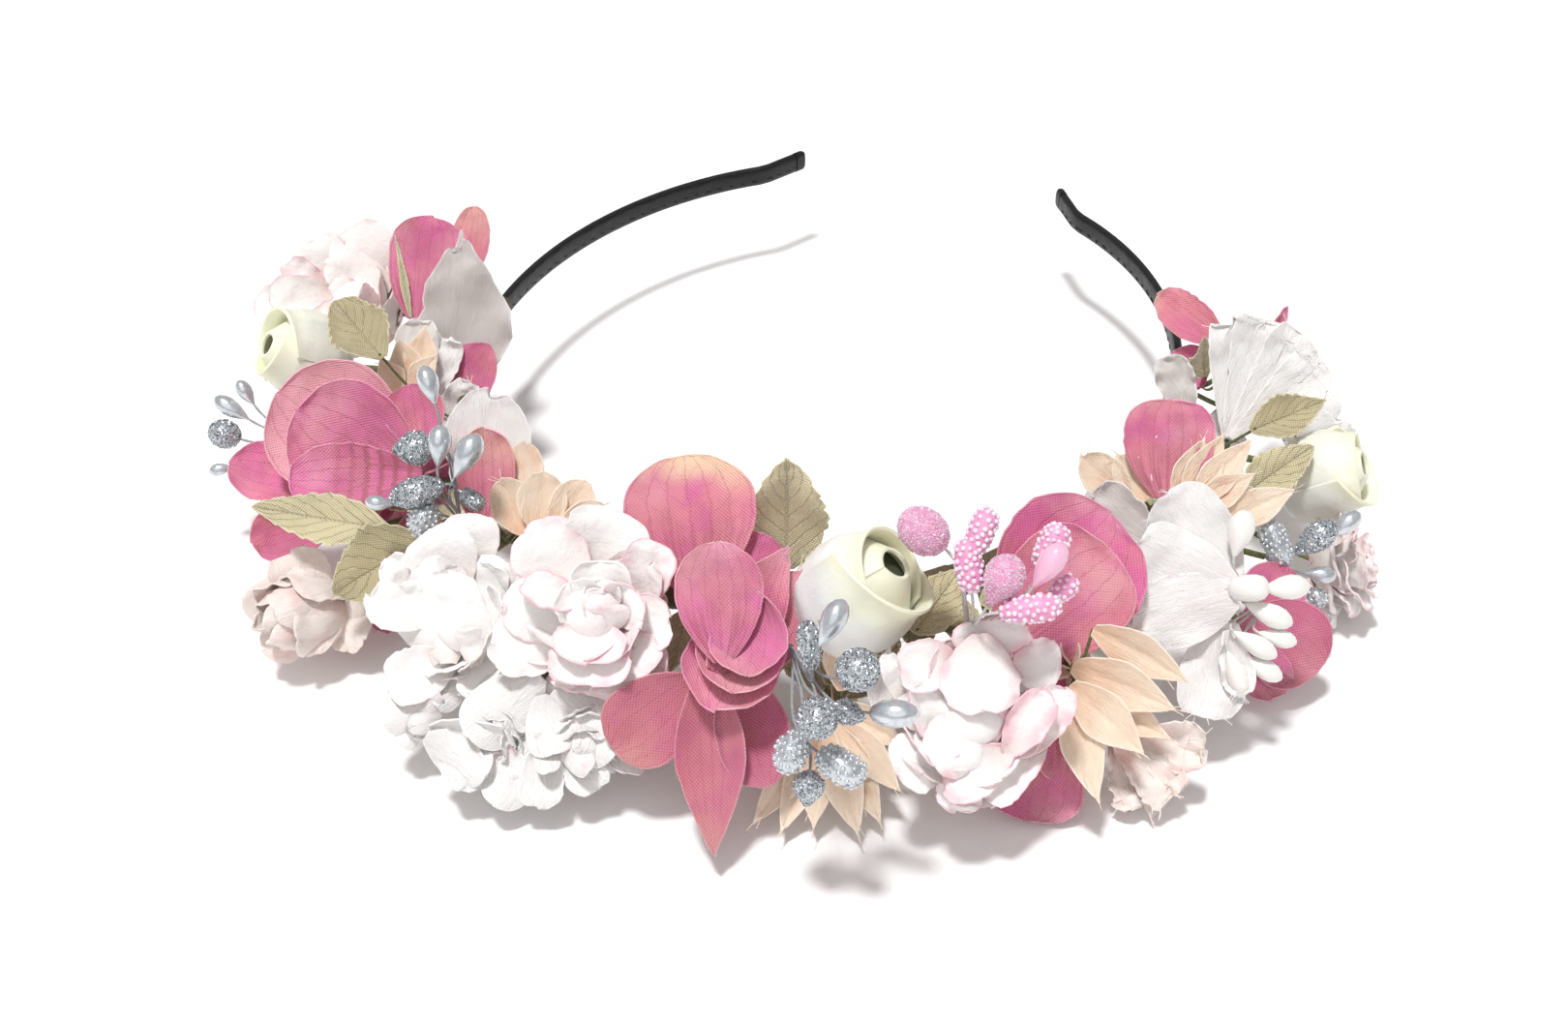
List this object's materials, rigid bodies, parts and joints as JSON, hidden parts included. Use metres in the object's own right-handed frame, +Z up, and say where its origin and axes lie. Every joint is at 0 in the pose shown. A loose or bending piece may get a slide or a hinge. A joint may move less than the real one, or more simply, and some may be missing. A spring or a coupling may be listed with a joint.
{
  "type": "flower crown",
  "caption": "Open spring headband in black ribbon with a dense garland of paper roses, foam buds, pink cloth blooms, leaves and beaded stamen sprays.",
  "frame": {"origin": "centre of the crown's footprint, on the surface that it lies on", "axes": "+X across the crown, to the wearer's side at right seen from the open end; +Y from the flowered front to the open ends of the band; +Z up out of the plane that the band lies in"},
  "size_m": [0.2152, 0.2032, 0.0554],
  "materials": {
    "spring_steel": "satin",
    "black_satin": "black satin ribbon, soft sheen",
    "floral_tape": "matt crepe tape",
    "stem_wire": "matt",
    "rose_paper": "matt mulberry paper, pink at the petal edges",
    "ivory_foam": "matt smooth foam, ivory with a green tint",
    "blush_cloth": "matt cream to blush cloth",
    "white_cloth": "matt white woven cloth, faint sheen",
    "pink_cloth": "printed woven cloth, pink to peach with darker veins",
    "peach_cloth": "matt peach cloth",
    "khaki_satin": "khaki satin weave, frayed edge",
    "silver_bead": "pearl lacquer and silver glitter",
    "pink_bead": "pink pearl lacquer, glitter and bead coat",
    "white_bead": "smooth white lacquer"
  },
  "bodies": {
    "root": {"spring_strip": "spring_steel", "ribbon_wrap": "black_satin", "ribbon_tip_left": "black_satin", "ribbon_tip_right": "black_satin", "stem_binding": "floral_tape", "paper_rose_back_left": "rose_paper", "foam_bud_back_left": "ivory_foam", "blossom_back_left": "white_cloth", "peony_bud_left": "blush_cloth", "white_rose_left": "rose_paper", "paper_rose_left": "rose_paper", "blossom_front_right": "white_cloth", "blossom_front_left": "white_cloth", "blossom_front_far": "white_cloth", "foam_bud_front": "ivory_foam", "pointed_flower_front": "peach_cloth", "paper_rose_right": "rose_paper", "pointed_flower_right": "peach_cloth", "torn_blossom_right": "blush_cloth", "satin_blossom_right": "white_cloth", "pointed_flower_back_right": "peach_cloth", "satin_blossom_back_right": "white_cloth", "foam_bud_right": "ivory_foam", "blossom_back_right": "white_cloth", "paper_rose_far_right": "rose_paper", "pointed_flower_left": "peach_cloth", "pointed_flower_back_left": "peach_cloth", "cloth_bloom_back_left": "pink_cloth", "cloth_bloom_left_upper": "pink_cloth", "cloth_bloom_left_lower": "pink_cloth", "cloth_bloom_inner_left": "pink_cloth", "cloth_bloom_front_middle": "pink_cloth", "cloth_bloom_front_upper": "pink_cloth", "cloth_bloom_front_lower": "pink_cloth", "cloth_bloom_right_upper": "pink_cloth", "cloth_bloom_right_lower": "pink_cloth", "cloth_bloom_far_right": "pink_cloth", "cloth_bloom_back_right": "pink_cloth", "cloth_bloom_end_right": "pink_cloth", "silver_spray_far_left": "silver_bead", "silver_spray_left": "silver_bead", "silver_spray_front": "silver_bead", "pink_spray_right": "pink_bead", "white_spray_right": "white_bead", "silver_spray_right": "silver_bead", "leaf_back_left": "khaki_satin", "satin_petal_back_left": "white_cloth", "leaf_left_upper": "khaki_satin", "leaf_left_lower": "khaki_satin", "leaf_front": "khaki_satin", "leaf_bud_right": "khaki_satin", "satin_petal_end_right": "white_cloth", "leaf_right_upper": "khaki_satin", "leaf_right_lower": "khaki_satin", "leaf_end_right": "khaki_satin", "stem_paper_rose_back_left": "stem_wire", "stem_foam_bud_back_left": "stem_wire", "stem_peony_bud_left": "stem_wire", "stem_paper_rose_right": "stem_wire", "stem_foam_bud_right": "stem_wire"}
  },
  "joints": []
}
